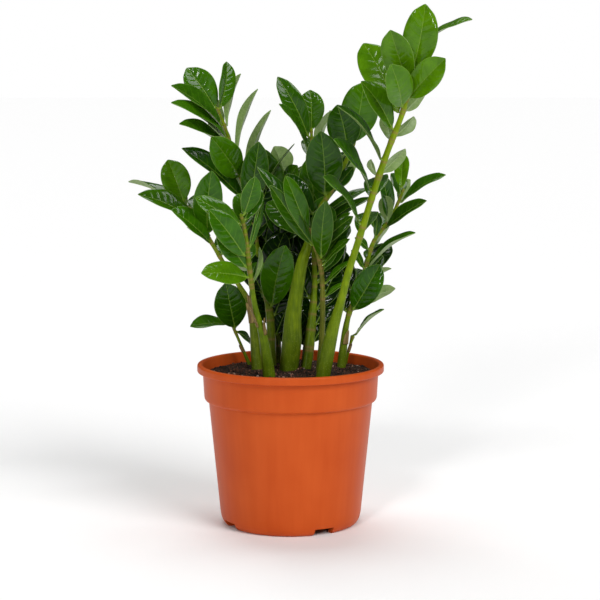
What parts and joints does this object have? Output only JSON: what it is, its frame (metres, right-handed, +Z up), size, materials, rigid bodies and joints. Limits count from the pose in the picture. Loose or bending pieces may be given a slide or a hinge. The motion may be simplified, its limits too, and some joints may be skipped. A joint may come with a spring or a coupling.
{
  "type": "potted zz plant",
  "caption": "Potted ZZ plant: glossy two-ranked leaflets on swollen stems, planted in soil in a tapered terracotta-coloured nursery pot.",
  "frame": {"origin": "on the pot's axis at the plane the pot stands on, which is also the middle of the bounding box's underside to within 3 mm", "axes": "+Z up along the pot's axis, -Y the front, +X to the right seen from the front"},
  "size_m": [0.309, 0.1933, 0.467],
  "materials": {
    "pot_plastic": "satin moulded polypropylene, terracotta orange",
    "potting_soil": "loose dark bark and peat potting mix",
    "green_stem": "smooth waxy yellow-green skin, darker and speckled at the base",
    "green_leaf": "glossy waxy leaflet, paler matt underside"
  },
  "bodies": {
    "root": {"pot": "pot_plastic", "soil": "potting_soil", "stem_a": "green_stem", "stem_b": "green_stem", "stem_c": "green_stem", "stem_d": "green_stem", "stem_e": "green_stem", "stem_f": "green_stem", "stem_h": "green_stem", "stem_j": "green_stem", "stem_k": "green_stem", "stem_l": "green_stem", "stem_m": "green_stem", "leaf_a_1": "green_leaf", "leaf_a_2": "green_leaf", "leaf_a_3": "green_leaf", "leaf_a_4": "green_leaf", "leaf_a_5": "green_leaf", "leaf_a_6": "green_leaf", "leaf_a_7": "green_leaf", "leaf_a_8": "green_leaf", "leaf_a_9": "green_leaf", "leaf_a_10": "green_leaf", "leaf_b_1": "green_leaf", "leaf_b_2": "green_leaf", "leaf_b_3": "green_leaf", "leaf_c_1": "green_leaf", "leaf_c_2": "green_leaf", "leaf_c_3": "green_leaf", "leaf_c_4": "green_leaf", "leaf_d_1": "green_leaf", "leaf_d_2": "green_leaf", "leaf_d_3": "green_leaf", "leaf_d_4": "green_leaf", "leaf_d_5": "green_leaf", "leaf_d_6": "green_leaf", "leaf_d_7": "green_leaf", "leaf_d_8": "green_leaf", "leaf_d_9": "green_leaf", "leaf_d_10": "green_leaf", "leaf_d_11": "green_leaf", "leaf_e_1": "green_leaf", "leaf_e_2": "green_leaf", "leaf_e_3": "green_leaf", "leaf_e_4": "green_leaf", "leaf_f_1": "green_leaf", "leaf_f_2": "green_leaf", "leaf_f_3": "green_leaf", "leaf_h_1": "green_leaf", "leaf_h_2": "green_leaf", "leaf_h_3": "green_leaf", "leaf_j_1": "green_leaf", "leaf_j_2": "green_leaf", "leaf_j_3": "green_leaf", "leaf_j_4": "green_leaf", "leaf_j_5": "green_leaf", "leaf_j_6": "green_leaf", "leaf_k_1": "green_leaf", "leaf_l_1": "green_leaf", "leaf_l_2": "green_leaf"}
  },
  "joints": []
}
